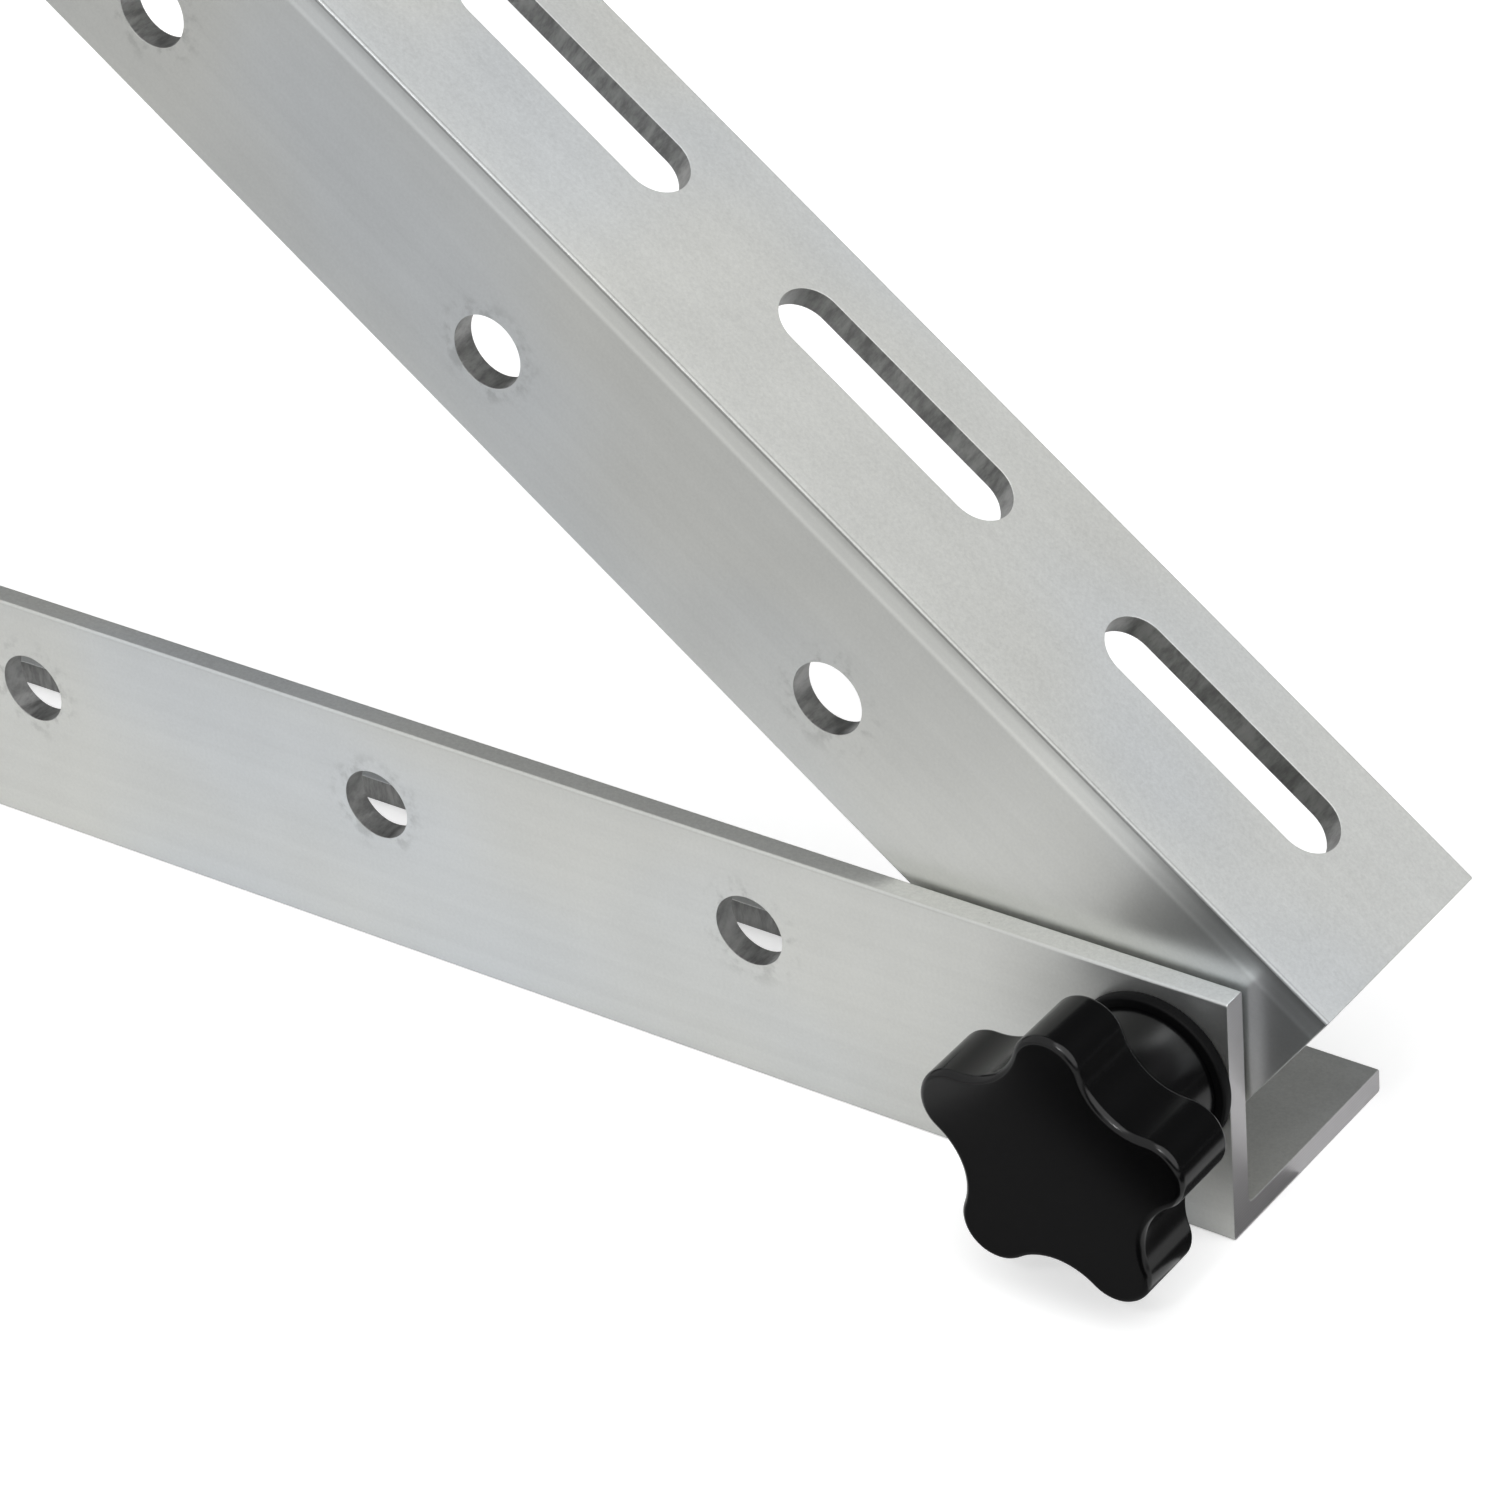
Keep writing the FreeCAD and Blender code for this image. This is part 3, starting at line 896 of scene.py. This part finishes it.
def make_bolt(steel):
    """Hexagon bolt, threaded all along, with its tip turned to a cone."""
    low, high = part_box("knob_bolt")
    seat = low.y + HEAD_HEIGHT
    bolt = thread_bar(seat - MM, high.y + MM)
    crest = THREAD_RADIUS + CLOSE
    stations = [
        (crest, seat - 2 * MM), (crest, high.y - BOLT_TIP_CHAMFER), (crest - BOLT_TIP_CHAMFER, high.y)
    ]
    combine(bolt, turned("turning", stations), "INTERSECT")
    edit_all(bolt)
    bpy.ops.mesh.remove_doubles(threshold=CLOSE)
    bpy.ops.object.mode_set(mode="OBJECT")
    combine(bolt, hexagon("bolt_head", low.y, seat), "UNION")
    clear(bolt)
    shade(bolt)
    dress(bolt, steel)
    onto(bolt, "knob", "zinc_steel", "knob_bolt")


def make_nut(steel):
    """Nut, countersunk at both faces."""
    low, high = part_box("hex_nut")
    nut = hexagon("hexagon_nut", low.y, high.y)
    bore = THREAD_RADIUS + BOLT_ROOM
    mouth = bore + NUT_MOUTH
    stations = [
        (mouth, low.y - MM), (mouth, low.y), (bore, low.y + NUT_MOUTH),
        (bore, high.y - NUT_MOUTH), (mouth, high.y), (mouth, high.y + MM),
    ]
    combine(nut, turned("bore", stations), "DIFFERENCE")
    clear(nut)
    shade(nut)
    dress(nut, steel)
    onto(nut, "panel", "zinc_steel", "hex_nut")


def split_knife(middle, radius):
    """A slanted blade that cuts the upper side of a washer; middle is the washer's middle along Y."""
    half_width, half_depth = SPLIT_WIDTH / 2, 3 * MM
    knife = block(
        "knife", (-half_width, middle - half_depth, HOLE_LINE),
        (half_width, middle + half_depth, HOLE_LINE + 2 * radius),
    )
    to_middle = Matrix.Translation((0, middle, 0))
    place(knife, to_middle @ Matrix.Rotation(SPLIT_SLANT, 4, "Z") @ to_middle.inverted())
    return knife


def make_washer(node, name, body, slot, material, rounding, split=False):
    """A washer of the size and at the place of its node, with rolled edges. A split one gets a gap on top."""
    low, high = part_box(node)
    radius = (high.x - low.x) / 2
    washer = round_bar(name, radius, (0, low.y, HOLE_LINE), high.y, "Y", 128)
    bore = round_bar("bore", WASHER_BORE_RADIUS, (0, low.y - MM, HOLE_LINE), high.y + MM, "Y", 96)
    combine(washer, bore, "DIFFERENCE")
    if split:
        combine(washer, split_knife((low.y + high.y) / 2, radius), "DIFFERENCE")
    modify(washer, "BEVEL", width=rounding, segments=3, limit_method="ANGLE", angle_limit=math.radians(50))
    shade(washer)
    dress(washer, material)
    onto(washer, body, slot, node)


def make_fasteners():
    """The bolt, the nut and the four washers."""
    steel = zinc_plate("bright_zinc_plate")
    plastic = moulded_plastic("washer_plastic", (0.0014, 0.0014, 0.0016), 0.6, 0.12)
    make_bolt(steel)
    make_nut(steel)
    make_washer("knob_washer", "hub_washer", "washer", "washer_black", plastic, 0.3 * MM)
    make_washer("rail_spacer", "spacer_washer", "base", "spacer_black", plastic, 0.1 * MM)
    make_washer("flat_washer", "plain_washer", "panel", "zinc_steel", steel, 0.25 * MM)
    make_washer("spring_washer", "split_washer", "panel", "zinc_steel", steel, 0.15 * MM, split=True)


make_rails()
make_knob()
make_fasteners()

# Floor, cards, lights and camera


def grey(shade_of_grey):
    """A colour without tint."""
    return (shade_of_grey, shade_of_grey, shade_of_grey, 1)


def seen_by_camera(tree):
    """1 where the camera looks straight at it, and 0 for light and reflections."""
    return add(tree, "ShaderNodeLightPath").outputs["Is Camera Ray"]


def floor_sheet(tree):
    """Pale sheet that glows to the camera alone, so it looks white and shadows on it stay faint."""
    return {
        "Base Color": grey(FLOOR_SHADE), "Roughness": 0.9, "Emission Color": grey(1),
        "Emission Strength": maths(tree, "MULTIPLY", seen_by_camera(tree), FLOOR_GLOW),
    }


def make_floor():
    """A sheet that fills every view."""
    activate()
    bpy.ops.mesh.primitive_plane_add(size=FLOOR_SIZE, location=FLOOR_MIDDLE)
    floor = bpy.context.object
    floor.name = floor.data.name = "floor"
    dress(floor, finish_material("pale_floor", floor_sheet))


def make_cards():
    """Studio cards that only reflections show."""
    for name, (edge, turn, width, depth, shade_of_grey) in CARDS.items():
        activate()
        middle = Vector(edge) - Vector((-math.sin(turn), math.cos(turn), 0)) * depth / 2
        bpy.ops.mesh.primitive_plane_add(size=1, location=middle, rotation=(0, 0, turn))
        bpy.context.object.scale = (width, depth, 1)
        card = settle(name)
        card.visible_camera = card.visible_shadow = card.visible_diffuse = False
        dress(card, finish_material(
            f"{name}_board", lambda tree: {"Base Color": grey(shade_of_grey), "Roughness": 1.0}
        ))


def soft_sun(name, towards, width, brightness):
    """A distant round light. brightness is how bright it looks, on a scale where a white floor is 1."""
    activate()
    bpy.ops.object.light_add(type="SUN")
    lamp = bpy.context.object
    lamp.name = name
    lamp.rotation_euler = Vector(towards).to_track_quat("Z", "Y").to_euler()
    lamp.data.angle = math.radians(width)
    lamp.data.energy = brightness * math.pi * math.sin(math.radians(width) / 2) ** 2


def make_lights():
    """The lamps, and a sky that is dim for the light that it gives and white where the camera sees it."""
    for name, (towards, width, brightness) in LIGHTS.items():
        soft_sun(name, towards, width, brightness)
    world = bpy.data.worlds.new("studio")
    bpy.context.scene.world = world
    world.use_nodes = True
    tree = world.node_tree
    sky = tree.nodes["Background"].inputs
    sky["Color"].default_value = SKY_COLOUR
    tree.links.new(total(tree, SKY_LIGHT, (seen_by_camera(tree), SKY_GLOW)), sky["Strength"])


def make_camera():
    """The camera at the photograph's place and angle."""
    activate()
    bpy.ops.object.camera_add()
    camera = bpy.context.object
    camera.name = "camera"
    axes = Matrix((CAMERA_RIGHT, CAMERA_UP, CAMERA_BACK)).transposed()
    camera.matrix_world = Matrix.Translation(CAMERA_PLACE) @ axes.to_4x4()
    camera.data.lens = CAMERA_LENS
    camera.data.sensor_width = CAMERA_SENSOR
    camera.data.clip_start = CAMERA_NEAR_LIMIT
    bpy.context.scene.camera = camera


make_floor()
make_cards()
make_lights()
make_camera()
bpy.context.scene.view_settings.view_transform = "Standard"
